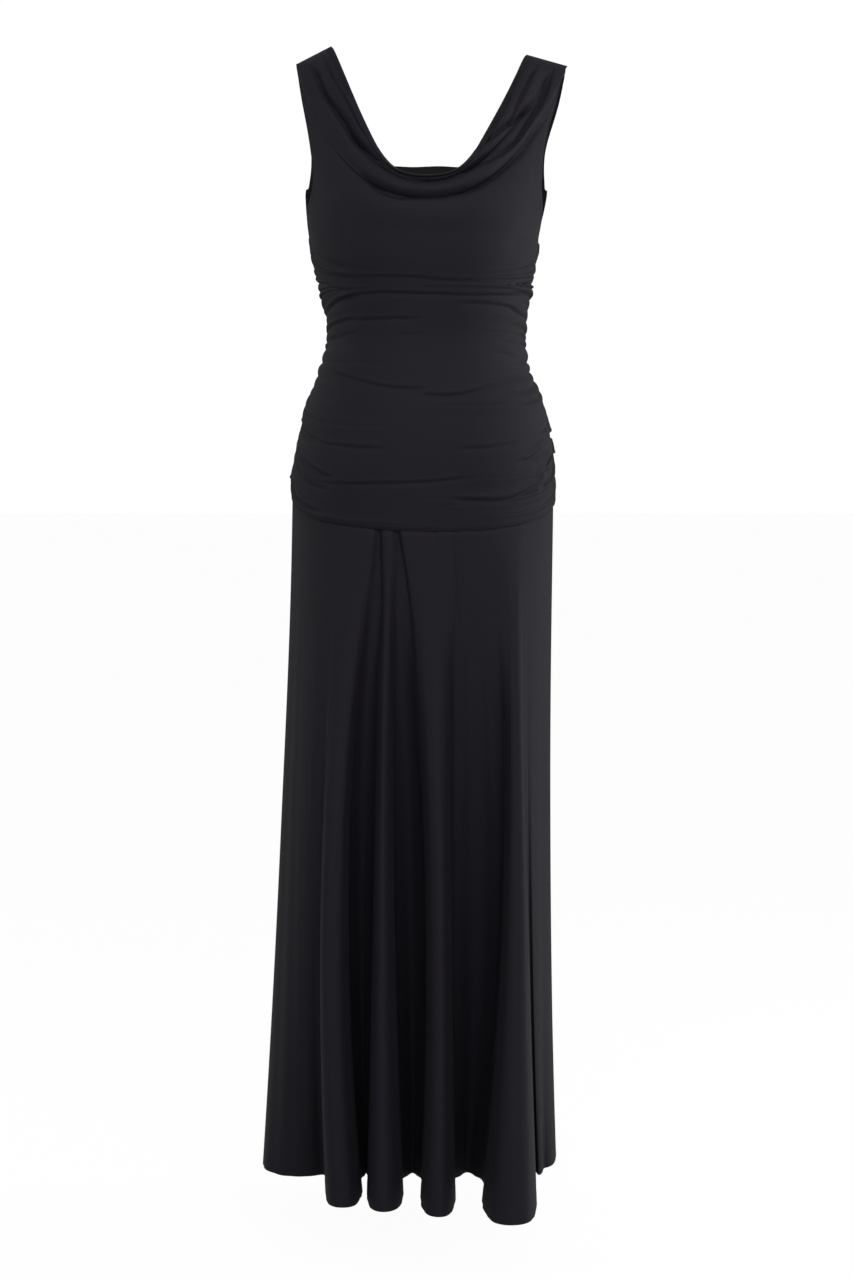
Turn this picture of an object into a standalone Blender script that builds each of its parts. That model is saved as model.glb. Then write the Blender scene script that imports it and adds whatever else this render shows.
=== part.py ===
"""Sleeveless maxi dress with a draped cowl neck, worn form, hollow. Metres, +Z up, front to -Y.

The origin is level with the tops of the shoulder seams, on the body's centre line.
"""

from collections import namedtuple

import bpy
import numpy as np

WALL = 0.0020  # thickness of the cloth wall
SEAM_GAP = 0.00032  # gap between two panels at a side or shoulder seam
DROP_GAP = 0.00050  # gap between the bodice and the skirt at the drop seam
HEM_Z = -1.400  # height of the hem below the shoulders
MIDWAY = 0.48  # how far down the skirt its middle row of sizes lies
FOLD_LAG = 0.5  # how much later than the cloth beside them the folds open below the seam
SIDE_COLUMNS = 15  # columns of a bodice panel from its centre to one side
COLUMN_CROWDING = 1.3  # how much the columns crowd towards the side seams and shoulders
SKIRT_ROWS = (0.0, 0.045, 0.11, 0.19, 0.28, 0.38, 0.48, 0.60, 0.72, 0.85, 1.0)
UNDERARM_ROW = 4  # rows of a bodice panel up to this one end at the side seams
SHOULDER_ROW = 8  # rows from this one on end on the shoulder seams
SHOULDER_ROUND = 0.12  # how quickly the chest fills out below the shoulder line

# The drop seam lies in two planes hinged at the side seams: height at the sides, then slopes.
DROP_SEAM_Z = -0.5455
DROP_SEAM_SIDEWAYS = -0.016
DROP_SEAM_FRONT = 0.335
DROP_SEAM_BACK = -0.080

# The torso's sections: height, reach to each side, depth to the front and to the back.
Section = namedtuple("Section", "z left right front back")
TORSO = (
    Section(0.010, 0.188, 0.200, 0.100, 0.094),
    Section(-0.060, 0.172, 0.182, 0.101, 0.095),
    Section(-0.120, 0.157, 0.160, 0.106, 0.098),
    Section(-0.161, 0.150, 0.151, 0.112, 0.100),
    Section(-0.216, 0.146, 0.140, 0.119, 0.100),
    Section(-0.252, 0.140, 0.134, 0.116, 0.095),
    Section(-0.301, 0.128, 0.127, 0.106, 0.086),
    Section(-0.350, 0.122, 0.121, 0.101, 0.082),
    Section(-0.393, 0.134, 0.128, 0.105, 0.089),
    Section(-0.430, 0.147, 0.144, 0.110, 0.100),
    Section(-0.467, 0.157, 0.153, 0.114, 0.111),
    Section(-0.505, 0.165, 0.157, 0.116, 0.119),
    Section(-0.542, 0.167, 0.158, 0.114, 0.124),
    Section(-0.600, 0.165, 0.156, 0.110, 0.125),
)
FRONT_SQUARE = 2.3  # how square the front of a section is, 2 being an ellipse
BACK_SQUARE = 2.2

# The slope of each shoulder: inner and outer end, each as reach from the centre and height.
LEFT_SHOULDER = ((0.117, 0.0065), (0.1585, -0.0145))
RIGHT_SHOULDER = ((0.123, -0.0035), (0.171, -0.0168))

# The rows of a bodice panel, from the drop seam up to the neck edge. Each row hangs from its left and
# right end and has its own height at the centre. The fullness is how far out along its hang the row
# turns, as a share of its reach. The swell lifts the row off the body, as in a cowl's rolls.
# A height of None means that the row follows the drop seam.
STRAIGHT = 2 / 3  # corner of a row that bends evenly all the way; nearer 1 it turns near its end
Hang = namedtuple("Hang", "left_x left_z right_x right_z centre_z fullness swell corner")
FRONT_HANGS = (
    Hang(0.0, None, 0.0, None, None, 1.00, 0.000, STRAIGHT),
    Hang(0.0, -0.470, 0.0, -0.472, -0.492, 1.00, 0.000, STRAIGHT),
    Hang(0.0, -0.360, 0.0, -0.362, -0.372, 1.00, 0.000, STRAIGHT),
    Hang(0.0, -0.275, 0.0, -0.277, -0.290, 1.00, 0.001, STRAIGHT),
    Hang(0.0, -0.206, 0.0, -0.208, -0.240, 1.00, 0.003, STRAIGHT),
    Hang(0.1370, -0.165, 0.1390, -0.163, -0.216, 0.97, 0.005, STRAIGHT),
    Hang(0.1430, -0.105, 0.1470, -0.100, -0.200, 0.92, 0.004, STRAIGHT),
    Hang(0.1550, -0.040, 0.1640, -0.040, -0.188, 0.86, 0.000, STRAIGHT),
    Hang(0.1585, -0.0145, 0.1710, -0.0168, -0.179, 0.79, 0.007, STRAIGHT),
    Hang(0.1480, -0.0085, 0.1590, -0.0138, -0.1695, 0.72, 0.001, STRAIGHT),
    Hang(0.1320, -0.0005, 0.1400, -0.0082, -0.1655, 0.68, 0.006, 0.74),
    Hang(0.1170, 0.0065, 0.1230, -0.0035, -0.1600, 0.61, 0.004, 0.88),
)
FRONT_ROWS = (0, 0.5, 1, 1.5, 2, 2.5, 3, 3.5, 4, 4.5, 5, 5.5, 6, 6.5, 7, 7.5, 8, 8.5, 9, 9.5, 10, 10.5, 11)
BACK_HANGS = (
    Hang(0.0, None, 0.0, None, None, 1.00, 0.000, STRAIGHT),
    Hang(0.0, -0.470, 0.0, -0.472, -0.475, 1.00, 0.000, STRAIGHT),
    Hang(0.0, -0.360, 0.0, -0.362, -0.360, 1.00, 0.000, STRAIGHT),
    Hang(0.0, -0.275, 0.0, -0.277, -0.275, 1.00, 0.000, STRAIGHT),
    Hang(0.0, -0.206, 0.0, -0.208, -0.216, 1.00, 0.000, STRAIGHT),
    Hang(0.1488, -0.169, 0.1486, -0.170, -0.196, 0.98, 0.001, STRAIGHT),
    Hang(0.1455, -0.158, 0.1465, -0.159, -0.184, 0.97, 0.001, STRAIGHT),
    Hang(0.1440, -0.110, 0.1490, -0.110, -0.176, 0.96, 0.001, STRAIGHT),
    Hang(0.1585, -0.0145, 0.1710, -0.0168, -0.170, 0.96, 0.001, STRAIGHT),
    Hang(0.1480, -0.0085, 0.1590, -0.0138, -0.166, 0.95, 0.001, STRAIGHT),
    Hang(0.1320, -0.0005, 0.1400, -0.0082, -0.162, 0.94, 0.001, STRAIGHT),
    Hang(0.1170, 0.0065, 0.1230, -0.0035, -0.158, 0.93, 0.001, STRAIGHT),
)
BACK_ROWS = (0, 0.5, 1, 1.5, 2, 2.5, 3, 3.5, 4, 5, 6, 7, 8, 9, 10, 11)

# The lining's strip: the row of the front it is caught to, its top edge and how far it stands off there.
LINING_ROW = 7
LINING_TOP_Z = -0.149
LINING_COLUMNS = 6
LINING_LIFT = 0.008
LINING_EASE = 0.006

# The folds of a skirt panel from left to right. Each has the tuck on its right at the seam, as a share
# of the half width, then midway and at the hem its left and right edge, its crest and the gap on its right.
Fold = namedtuple("Fold", "tuck pinch open m_left m_right m_crest m_gap h_left h_right h_crest h_gap")
# The way round from a side seam to the first or last fold: share of the half width at the seam, then the
# place midway and at the hem.
Turn = namedtuple("Turn", "seam m_x m_y h_x h_y")
FRONT_LEFT = (
    Turn(-1.00, -0.184, 0.010, -0.2105, 0.015),
    Turn(-0.98, -0.180, -0.020, -0.2040, -0.010),
    Turn(-0.94, -0.170, -0.050, -0.1870, -0.028),
    Turn(-0.88, -0.158, -0.074, -0.1650, -0.036),
    Turn(-0.82, -0.146, -0.088, -0.1450, -0.034),
    Turn(-0.76, -0.136, -0.092, -0.1300, -0.028),
)
FRONT_FOLDS = (
    Fold(-0.358, 0.012, 0.70, -0.127, -0.094, -0.128, -0.062, -0.125, -0.079, -0.152, -0.020),
    Fold(-0.215, 0.016, 0.0, -0.064, -0.040, -0.137, -0.066, -0.074, -0.028, -0.167, -0.022),
    Fold(0.310, 0.100, 0.0, -0.003, 0.030, -0.145, -0.076, -0.008, 0.036, -0.185, -0.020),
    Fold(0.765, 0.030, 0.75, 0.094, 0.121, -0.152, -0.094, 0.067, 0.135, -0.214, -0.018),
)
FRONT_RIGHT = (
    Turn(0.83, 0.1290, -0.092, 0.1410, -0.030),
    Turn(0.88, 0.1350, -0.080, 0.1455, -0.026),
    Turn(0.92, 0.1425, -0.060, 0.1500, -0.004),
    Turn(0.96, 0.1500, -0.036, 0.1560, 0.002),
    Turn(0.985, 0.1550, -0.014, 0.1630, 0.012),
    Turn(1.00, 0.1570, 0.010, 0.1670, 0.032),
)
BACK_LEFT = (
    Turn(-1.00, -0.184, 0.010, -0.2105, 0.015),
    Turn(-0.98, -0.180, 0.045, -0.2080, 0.050),
    Turn(-0.93, -0.170, 0.080, -0.1960, 0.090),
    Turn(-0.86, -0.156, 0.100, -0.1760, 0.104),
    Turn(-0.78, -0.141, 0.108, -0.1570, 0.094),
)
BACK_FOLDS = (
    Fold(-0.430, 0.030, 0.40, -0.126, -0.094, 0.146, 0.112, -0.140, -0.096, 0.166, 0.086),
    Fold(-0.050, 0.030, 0.0, -0.062, -0.024, 0.156, 0.116, -0.070, -0.020, 0.186, 0.090),
    Fold(0.400, 0.060, 0.0, 0.012, 0.046, 0.154, 0.112, 0.008, 0.054, 0.180, 0.088),
    Fold(0.800, 0.040, 0.30, 0.080, 0.108, 0.140, 0.098, 0.080, 0.118, 0.160, 0.084),
)
BACK_RIGHT = (
    Turn(0.87, 0.1290, 0.092, 0.1400, 0.094),
    Turn(0.92, 0.1400, 0.082, 0.1520, 0.098),
    Turn(0.965, 0.1500, 0.060, 0.1630, 0.080),
    Turn(0.985, 0.1555, 0.036, 0.1680, 0.056),
    Turn(1.00, 0.1570, 0.010, 0.1670, 0.032),
)
# How a fold is rounded: place along its width, then height from the gaps to the crest.
# The section of a fold: its share of the fold at the drop seam, then its place across and its
# height lower down.
FOLD_SHAPE = (
    (0.02, 0.07, 0.21),
    (0.05, 0.01, 0.62),
    (0.18, 0.16, 0.92),
    (0.50, 0.50, 1.00),
    (0.82, 0.84, 0.92),
    (0.95, 0.99, 0.62),
    (0.98, 0.93, 0.21),
)

COLOURS = {
    "jersey": ((0.014, 0.013, 0.017, 1.0), 0.85),
    "lining": ((0.009, 0.0085, 0.010, 1.0), 0.9),
}


def smooth(keys, values, at):
    """A smooth curve through the values at rising keys, read at the given places."""
    keys = np.asarray(keys, float)
    values = np.asarray(values, float)
    at = np.clip(at, keys[0], keys[-1])
    slopes = np.gradient(values, keys)
    i = np.clip(np.searchsorted(keys, at, side="right") - 1, 0, len(keys) - 2)
    step = keys[i + 1] - keys[i]
    t = (at - keys[i]) / step
    start = values[i] * (1 + 2 * t) * (1 - t) ** 2 + values[i + 1] * t * t * (3 - 2 * t)
    return start + step * (slopes[i] * t * (1 - t) ** 2 - slopes[i + 1] * t * t * (1 - t))


def section(name, z):
    """One size of the torso at the given heights."""
    rows = sorted(TORSO)
    return smooth([row.z for row in rows], [getattr(row, name) for row in rows], z)


def shoulder_line(x):
    """The height of the shoulder seam at a reach from the centre, held level beyond its ends."""
    left = np.interp(-x, *zip(*LEFT_SHOULDER))
    right = np.interp(x, *zip(*RIGHT_SHOULDER))
    return np.where(x < 0, left, right)


def reach(side, z):
    """The torso's half width towards the given side, -1 for left and 1 for right."""
    return np.where(np.asarray(side) < 0, section("left", z), section("right", z))


def on_body(share, z, back, swell=0.0):
    """Points on the worn form, at a share of its half width (-1 left, 1 right) and a height."""
    square = BACK_SQUARE if back else FRONT_SQUARE
    x = share * reach(share, z)
    below = np.clip(shoulder_line(x) - z, 0, None)
    depth = section("back" if back else "front", z) * np.sqrt(np.tanh(below / SHOULDER_ROUND)) + swell
    y = depth * (1 - np.clip(np.abs(share), 0, 1) ** square) ** (1 / square)
    return np.stack([x, y if back else -y, z], axis=-1)


def drop_seam(share, back):
    """Points on the drop seam at shares of the half width."""
    z = np.full_like(share, DROP_SEAM_Z)
    slope = DROP_SEAM_BACK if back else DROP_SEAM_FRONT
    for _ in range(12):
        x, y, _ = on_body(share, z, back).T
        z = DROP_SEAM_Z + DROP_SEAM_SIDEWAYS * x + slope * y
    return on_body(share, z, back)


def bodice_grid(hangs, rows, back):
    """The outer face of a bodice panel: one line of points for each row, from left to right."""
    count = np.arange(len(hangs))
    t = 1 - (1 - np.linspace(0, 1, SIDE_COLUMNS + 1)) ** COLUMN_CROWDING
    centre_z = [DROP_SEAM_Z if h.centre_z is None else h.centre_z for h in hangs]
    fullness = [h.fullness for h in hangs]
    swells = [h.swell for h in hangs]
    grid = []
    for row in rows:
        halves = []
        for side, name in ((-1, "left"), (1, "right")):
            end_z = [DROP_SEAM_Z if h.left_z is None else getattr(h, name + "_z") for h in hangs]
            end_x = [getattr(h, name + "_x") for h in hangs]
            ends = [x / float(reach(side, z)) if x else 1.0 for x, z in zip(end_x, end_z)]
            end = min(float(smooth(count, ends, row)), 1.0)
            stop = float(smooth(count, end_z, row))
            if row <= UNDERARM_ROW:
                end = 1.0
            if row >= SHOULDER_ROW:
                x_end = float(np.interp(row, count, end_x))
                stop = float(shoulder_line(side * x_end))
                end = x_end / float(reach(side, stop))
            full = smooth(count, fullness, row)
            pull = smooth(count, [h.corner for h in hangs], row)
            near = 3 * t * (1 - t) ** 2
            far = 3 * t * t * (1 - t)
            share = side * end * (near * pull * full + far * (1 + pull * (full - 1)) + t ** 3)
            low = smooth(count, centre_z, row)
            z = low + (stop - low) * (far * (1 - pull) + t ** 3)
            if row < 1:
                low = centre_z[1]
                z = low + (end_z[1] - low) * t * t
                z = drop_seam(share, back)[:, 2] * (1 - row) + z * row
            bulge = smooth(count, swells, row) * np.sin(np.pi * np.clip(1 - t, 0, 0.5))
            halves.append(on_body(share, z, back, bulge))
        grid.append(np.concatenate([halves[0][::-1], halves[1][1:]]))
    return np.array(grid)


def fold_points(left_turn, folds, right_turn):
    """For each line down the skirt: its share at the seam, then its place midway and at the hem."""
    points = [tuple(turn) for turn in left_turn]
    seam = left_turn[-1].seam
    m_gap, h_gap = left_turn[-1].m_y, left_turn[-1].h_y
    for index, fold in enumerate(folds):
        last = index + 1 == len(folds)
        after = right_turn[0] if last else folds[index + 1]
        edge = fold.tuck - fold.pinch
        for at_seam, place, height in FOLD_SHAPE:
            m_base = m_gap + (fold.m_gap - m_gap) * place
            h_base = h_gap + (fold.h_gap - h_gap) * place
            points.append((
                seam + (edge - seam) * at_seam ** (1 - fold.open),
                fold.m_left + (fold.m_right - fold.m_left) * place,
                m_base + (fold.m_crest - m_base) * height,
                fold.h_left + (fold.h_right - fold.h_left) * place,
                h_base + (fold.h_crest - h_base) * height,
            ))
        m_next = after.m_x if last else after.m_left
        h_next = after.h_x if last else after.h_left
        for share, dip in ((0.2, 0.08), (0.5, 0.0), (0.8, 0.08)):
            if last and share > 0.5:
                continue
            points.append((
                edge + 2 * fold.pinch * share,
                fold.m_right + (m_next - fold.m_right) * share,
                fold.m_gap + (fold.m_crest - fold.m_gap) * dip,
                fold.h_right + (h_next - fold.h_right) * share,
                fold.h_gap + (fold.h_crest - fold.h_gap) * dip,
            ))
        seam = fold.tuck + fold.pinch
        m_gap, h_gap = fold.m_gap, fold.h_gap
    points += [tuple(turn) for turn in right_turn]
    return np.array(points)


def skirt_grid(left_turn, folds, right_turn, back):
    """The outer face of a skirt panel, from the drop seam down to the hem."""
    share, m_x, m_y, h_x, h_y = fold_points(left_turn, folds, right_turn).T
    seam_x, seam_y, seam_z = drop_seam(share, back).T
    grid = []
    for v in SKIRT_ROWS:
        late = v - FOLD_LAG * v * max(1 - v / MIDWAY, 0.0) ** 2
        at_seam = (late - MIDWAY) * (late - 1) / MIDWAY
        at_mid = late * (late - 1) / (MIDWAY * (MIDWAY - 1))
        at_hem = late * (late - MIDWAY) / (1 - MIDWAY)
        x = seam_x * at_seam + m_x * at_mid + h_x * at_hem
        y = seam_y * at_seam + m_y * at_mid + h_y * at_hem
        z = seam_z + (HEM_Z - seam_z) * v
        grid.append(np.stack([x, y, z], axis=1))
    return np.array(grid)


def vertex_normals(grid):
    """Unit normals of a grid, each the mean of those of its four neighbouring faces, and how sharp it bends."""
    a = grid[:-1, :-1]
    b = grid[:-1, 1:]
    c = grid[1:, 1:]
    d = grid[1:, :-1]
    faces = np.cross(c - a, d - b)
    faces /= np.linalg.norm(faces, axis=2, keepdims=True)
    total = np.zeros_like(grid)
    near = np.zeros(grid.shape[:2])
    for i, j in ((slice(None, -1), slice(None, -1)), (slice(None, -1), slice(1, None)),
                 (slice(1, None), slice(1, None)), (slice(1, None), slice(None, -1))):
        total[i, j] += faces
        near[i, j] += 1
    length = np.linalg.norm(total, axis=2)
    stretch = np.clip(near / length, 1.0, 1.8)
    return total / length[..., None], stretch


def inner_face(grid, outward, level_rows=(), side_rows=()):
    """The inner face of a panel: its outer face moved in by the wall. Seam edges move along the seam."""
    normals, stretch = vertex_normals(grid)
    if np.sum(normals[..., 1] * outward) < 0:
        normals = -normals
    for row in level_rows:
        normals[row, :, 2] = 0.0
    for row in side_rows:
        normals[row, 0, 1] = 0.0
        normals[row, -1, 1] = 0.0
    normals /= np.linalg.norm(normals, axis=2, keepdims=True)
    return grid - normals * stretch[..., None] * WALL


def shell(name, outer, inner, material):
    """A closed panel between two grids of points."""
    rows, columns = outer.shape[:2]
    points = np.concatenate([outer.reshape(-1, 3), inner.reshape(-1, 3)])
    back = rows * columns

    def at(i, j, side):
        return i * columns + j + side * back

    faces = []
    for i in range(rows - 1):
        for j in range(columns - 1):
            quad = (at(i, j, 0), at(i, j + 1, 0), at(i + 1, j + 1, 0), at(i + 1, j, 0))
            faces.append(quad)
            faces.append(tuple(k + back for k in reversed(quad)))
    rim = [(0, j) for j in range(columns)]
    rim += [(i, columns - 1) for i in range(1, rows)]
    rim += [(rows - 1, j) for j in range(columns - 2, -1, -1)]
    rim += [(i, 0) for i in range(rows - 2, 0, -1)]
    for here, there in zip(rim, rim[1:] + rim[:1]):
        faces.append((at(*there, 0), at(*here, 0), at(*here, 1), at(*there, 1)))
    mesh = bpy.data.meshes.new(name)
    mesh.from_pydata([tuple(p) for p in points], [], faces)
    mesh.update()
    if signed_volume(points, faces) < 0:
        mesh.flip_normals()
    mesh.materials.append(material)
    panel = bpy.data.objects.new(name, mesh)
    bpy.context.scene.collection.objects.link(panel)
    return panel


def signed_volume(points, faces):
    """Six times the volume that the faces close in, below zero where they face inwards."""
    total = 0.0
    for a, b, c, d in faces:
        total += np.dot(points[a], np.cross(points[b], points[c]))
        total += np.dot(points[a], np.cross(points[c], points[d]))
    return total


def cloth(name):
    """The material of one cloth."""
    colour, rough = COLOURS[name]
    material = bpy.data.materials.new(name)
    material.use_nodes = True
    bsdf = material.node_tree.nodes["Principled BSDF"]
    bsdf.inputs["Base Color"].default_value = colour
    bsdf.inputs["Roughness"].default_value = rough
    bsdf.inputs["Metallic"].default_value = 0.0
    return material


def shift(grid, y=0.0, z=0.0):
    """The grid moved by half a seam gap."""
    return grid + np.array([0.0, y, z])


def build_bodice(name, hangs, rows, back, material):
    """One bodice panel, with its seam edges moved half a gap off the seams."""
    outer = bodice_grid(hangs, rows, back)
    seam_rows = [i for i, row in enumerate(rows) if row <= UNDERARM_ROW or row >= SHOULDER_ROW]
    inner = inner_face(outer, 1 if back else -1, level_rows=[0], side_rows=seam_rows)
    half = SEAM_GAP / 2 * (1 if back else -1)
    grids = [shift(grid, y=half, z=DROP_GAP / 2) for grid in (outer, inner)]
    shell(name, *grids, material)
    return grids


def build_skirt(name, left_turn, folds, right_turn, back, material):
    """One skirt panel, with its seam edges moved half a gap off the seams."""
    outer = skirt_grid(left_turn, folds, right_turn, back)
    inner = inner_face(outer, 1 if back else -1, level_rows=[0, -1], side_rows=range(len(outer)))
    half = SEAM_GAP / 2 * (1 if back else -1)
    grids = [shift(grid, y=half, z=-DROP_GAP / 2) for grid in (outer, inner)]
    shell(name, *grids, material)
    return grids


def build_lining(front, material):
    """The strip of lining that stands behind the cowl, caught to the front's inner face along its foot."""
    outer, inner = front
    row = FRONT_ROWS.index(LINING_ROW)
    middle = outer.shape[1] // 2
    half = LINING_COLUMNS
    columns = slice(middle - half, middle + half + 1)
    inward = inner[row, columns] - outer[row, columns]
    inward /= np.linalg.norm(inward, axis=1, keepdims=True)
    foot = inner[row, columns] + inward * SEAM_GAP
    across = np.abs(np.linspace(-1, 1, len(foot)))
    high = np.full(len(foot), LINING_TOP_Z)
    top = on_body(foot[:, 0] / reach(foot[:, 0], high), high, False)
    top[:, 1] += WALL + SEAM_GAP + LINING_LIFT * (1 - 0.3 * across**2)
    rows = []
    for k in np.linspace(0, 1, 4):
        line = foot + (top - foot) * k
        line[:, 1] += LINING_EASE * np.sin(np.pi * min(k * 1.6, 1.0) / 2) * (1 - k)
        rows.append(line)
    face = np.array(rows)
    behind = inner_face(face, -1)
    shell("front_lining", face, behind, material)


def main():
    for obj in list(bpy.data.objects):
        bpy.data.objects.remove(obj)
    jersey = cloth("jersey")
    lining = cloth("lining")
    front = build_bodice("front_bodice", FRONT_HANGS, FRONT_ROWS, False, jersey)
    build_bodice("back_bodice", BACK_HANGS, BACK_ROWS, True, jersey)
    build_lining(front, lining)
    build_skirt("skirt_front", FRONT_LEFT, FRONT_FOLDS, FRONT_RIGHT, False, jersey)
    build_skirt("skirt_back", BACK_LEFT, BACK_FOLDS, BACK_RIGHT, True, jersey)


if __name__ == "__main__":
    main()
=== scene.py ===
"""Maxi dress with a draped cowl neck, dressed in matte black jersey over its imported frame."""

import logging
import math
from dataclasses import astuple, dataclass, field
from enum import Enum
from typing import Sequence

import bpy
import numpy as np
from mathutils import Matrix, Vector


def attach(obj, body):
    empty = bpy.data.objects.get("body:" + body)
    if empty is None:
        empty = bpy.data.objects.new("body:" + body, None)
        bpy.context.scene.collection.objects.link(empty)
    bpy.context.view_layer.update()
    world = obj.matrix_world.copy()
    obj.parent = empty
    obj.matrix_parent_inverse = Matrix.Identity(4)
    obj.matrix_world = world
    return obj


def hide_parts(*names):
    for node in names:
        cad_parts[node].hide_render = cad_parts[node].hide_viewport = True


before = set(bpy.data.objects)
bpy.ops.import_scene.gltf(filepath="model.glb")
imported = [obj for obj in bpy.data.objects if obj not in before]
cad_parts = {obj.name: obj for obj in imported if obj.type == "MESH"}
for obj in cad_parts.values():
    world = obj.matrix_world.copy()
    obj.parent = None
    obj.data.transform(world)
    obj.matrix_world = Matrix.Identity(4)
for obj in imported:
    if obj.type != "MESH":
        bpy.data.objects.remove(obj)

logging.basicConfig(level=logging.INFO, format="%(message)s")
log = logging.getLogger("maxi_dress")

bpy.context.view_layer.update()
MILLIMETRE = 0.001
Grid = np.ndarray


class Face(Enum):
    """The face of the dress that a panel covers; the value is the way it looks along Y."""

    FRONT = -1
    BACK = 1


class Held(Enum):
    DRAPED = "draped"
    HUNG = "hung"
    GATHERED = "gathered"


def smooth(keys: Sequence[float], values: Sequence[float], at: float | Grid) -> Grid:
    """Read a smooth curve through values at rising keys.

    Args:
        keys: Rising places of the values.
        values: The curve's value at each key.
        at: Where to read the curve.

    Returns:
        The curve at those places.
    """
    k = np.asarray(keys, float)
    v = np.asarray(values, float)
    at = np.clip(at, k[0], k[-1])
    slopes = np.gradient(v, k)
    i = np.clip(np.searchsorted(k, at, side="right") - 1, 0, len(k) - 2)
    step = k[i + 1] - k[i]
    t = (at - k[i]) / step
    start = v[i] * (1 + 2 * t) * (1 - t) ** 2 + v[i + 1] * t * t * (3 - 2 * t)
    return start + step * (slopes[i] * t * (1 - t) ** 2 - slopes[i + 1] * t * t * (1 - t))


def ease(low: float, high: float, at: float | Grid) -> Grid:
    """Rise softly from 0 at low to 1 at high (or fall, where high is below low)."""
    t = np.clip((at - low) / (high - low), 0.0, 1.0)
    return t * t * (3 - 2 * t)


def bell(distance: float | Grid, width: float | Grid) -> Grid:
    """A soft bump of height 1 and the given half width."""
    return np.exp(-((distance / width) ** 2))


def normals_of(grid: Grid) -> Grid:
    """Unit normals of a grid of points, along rows times down columns."""
    along = np.gradient(grid, axis=1)
    down = np.gradient(grid, axis=0)
    normal = np.cross(along, down)
    length = np.linalg.norm(normal, axis=2, keepdims=True)
    return normal / np.maximum(length, 1e-12)


def run_along(grid: Grid, axis: int) -> Grid:
    """Length of cloth from the first point of each line of a grid, along one of its axes."""
    steps = np.linalg.norm(np.diff(grid, axis=axis), axis=2)
    zero = np.zeros_like(np.take(steps, [0], axis=axis))
    return np.concatenate([zero, np.cumsum(steps, axis=axis)], axis=axis)


@dataclass(frozen=True)
class Section:
    """One level section of the worn form: height, reach to each side, depth to front and back."""

    z: float
    left: float
    right: float
    front: float
    back: float


@dataclass(frozen=True)
class Slope:
    """A shoulder seam: its inner and outer end, as reach from the centre and height."""

    inner: tuple[float, float]
    outer: tuple[float, float]


@dataclass
class WornForm:
    """The general figure that the dress is cut to, from the shoulders to the hips."""

    sections: tuple[Section, ...] = (
        Section(-0.600, 0.165, 0.156, 0.110, 0.125),
        Section(-0.542, 0.167, 0.158, 0.114, 0.124),
        Section(-0.505, 0.165, 0.157, 0.116, 0.119),
        Section(-0.467, 0.157, 0.153, 0.114, 0.111),
        Section(-0.430, 0.147, 0.144, 0.110, 0.100),
        Section(-0.393, 0.134, 0.128, 0.105, 0.089),
        Section(-0.350, 0.122, 0.121, 0.101, 0.082),
        Section(-0.301, 0.128, 0.127, 0.106, 0.086),
        Section(-0.252, 0.140, 0.134, 0.116, 0.095),
        Section(-0.216, 0.146, 0.140, 0.119, 0.100),
        Section(-0.161, 0.150, 0.151, 0.112, 0.100),
        Section(-0.120, 0.157, 0.160, 0.106, 0.098),
        Section(-0.060, 0.172, 0.182, 0.101, 0.095),
        Section(0.010, 0.188, 0.200, 0.100, 0.094),
    )
    left_shoulder: Slope = Slope((0.117, 0.0065), (0.1585, -0.0145))
    right_shoulder: Slope = Slope((0.123, -0.0035), (0.171, -0.0168))
    shoulder_round: float = 0.12
    front_square: float = 2.3
    back_square: float = 2.2
    drop_z: float = -0.5455
    drop_sideways: float = -0.016
    drop_front: float = 0.335
    drop_back: float = -0.080

    def size(self, name: str, z: float | Grid) -> Grid:
        """One size of the form at the given heights."""
        return smooth([s.z for s in self.sections], [getattr(s, name) for s in self.sections], z)

    def reach(self, side: float | Grid, z: float | Grid) -> Grid:
        """Half width towards a side, below zero for left and above for right."""
        return np.where(np.asarray(side) < 0, self.size("left", z), self.size("right", z))

    def shoulder(self, x: Grid) -> Grid:
        """Height of the shoulder seams at a reach, held level past their ends."""
        left = np.interp(-x, *zip(self.left_shoulder.inner, self.left_shoulder.outer))
        right = np.interp(x, *zip(self.right_shoulder.inner, self.right_shoulder.outer))
        return np.where(x < 0, left, right)

    def on_body(self, share: Grid, z: Grid, face: Face) -> Grid:
        """Points on the form.

        Args:
            share: Share of the half width, -1 at the left side seam and 1 at the right.
            z: Height.
            face: Front or back.

        Returns:
            The points, with x, y and z last.
        """
        square = self.front_square if face is Face.FRONT else self.back_square
        x = share * self.reach(share, z)
        below = np.clip(self.shoulder(x) - z, 0, None)
        depth = self.size(face.name.lower(), z) * np.sqrt(np.tanh(below / self.shoulder_round))
        y = depth * (1 - np.clip(np.abs(share), 0, 1) ** square) ** (1 / square)
        return np.stack([x, y * face.value, z], axis=-1)

    def drop_seam(self, share: Grid, face: Face) -> Grid:
        """Points on the drop seam at shares of the half width."""
        z = np.full_like(share, self.drop_z)
        slope = self.drop_front if face is Face.FRONT else self.drop_back
        for _ in range(12):
            x, y, _ = self.on_body(share, z, face).T
            z = self.drop_z + self.drop_sideways * x + slope * y
        return self.on_body(share, z, face)


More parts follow.
